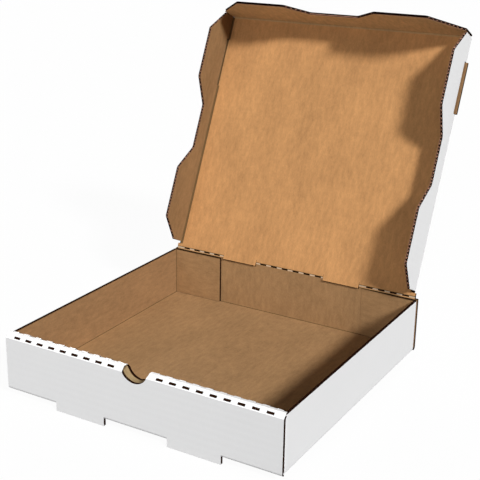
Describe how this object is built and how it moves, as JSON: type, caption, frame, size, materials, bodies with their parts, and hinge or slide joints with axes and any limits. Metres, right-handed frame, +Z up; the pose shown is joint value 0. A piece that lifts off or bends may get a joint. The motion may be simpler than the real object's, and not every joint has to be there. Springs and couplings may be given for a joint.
{
  "type": "pizza box",
  "caption": "Open corrugated pizza box: a folded tray with a double front wall and finger notch, and a hinged lid with wavy tuck flaps.",
  "frame": {"origin": "middle of the underside of the tray's bottom panel", "axes": "+Z up, -Y towards the front wall with the finger notch, +X to the right as seen from the front"},
  "size_m": [0.311, 0.43, 0.3573],
  "materials": {
    "board": "matt white liner outside, plain kraft liner inside"
  },
  "bodies": {
    "tray": {"tray": "board"},
    "lid": {"lid": "board"},
    "lid_left_flap": {"lid_left_flap": "board"},
    "lid_right_flap": {"lid_right_flap": "board"},
    "lid_front_flap": {"lid_front_flap": "board"}
  },
  "joints": [
    {"name": "lid_hinge", "type": "hinge", "parent": "tray", "child": "lid", "pos_m": [0, 0.153, 0.0625], "axis": [1, 0, 0], "range_deg": [-65.3, 114.7]},
    {"name": "left_flap_fold", "type": "hinge", "parent": "lid", "child": "lid_left_flap", "pos_m": [-0.1495, 0.153, 0.0625], "axis": [0, -0.4179, -0.9085], "range_deg": [0, 90]},
    {"name": "right_flap_fold", "type": "hinge", "parent": "lid", "child": "lid_right_flap", "pos_m": [0.1495, 0.153, 0.0625], "axis": [0, 0.4179, 0.9085], "range_deg": [0, 90]},
    {"name": "front_flap_fold", "type": "hinge", "parent": "lid", "child": "lid_front_flap", "pos_m": [0, 0.27397, 0.32551], "axis": [-1, 0, 0], "range_deg": [0, 90]}
  ]
}
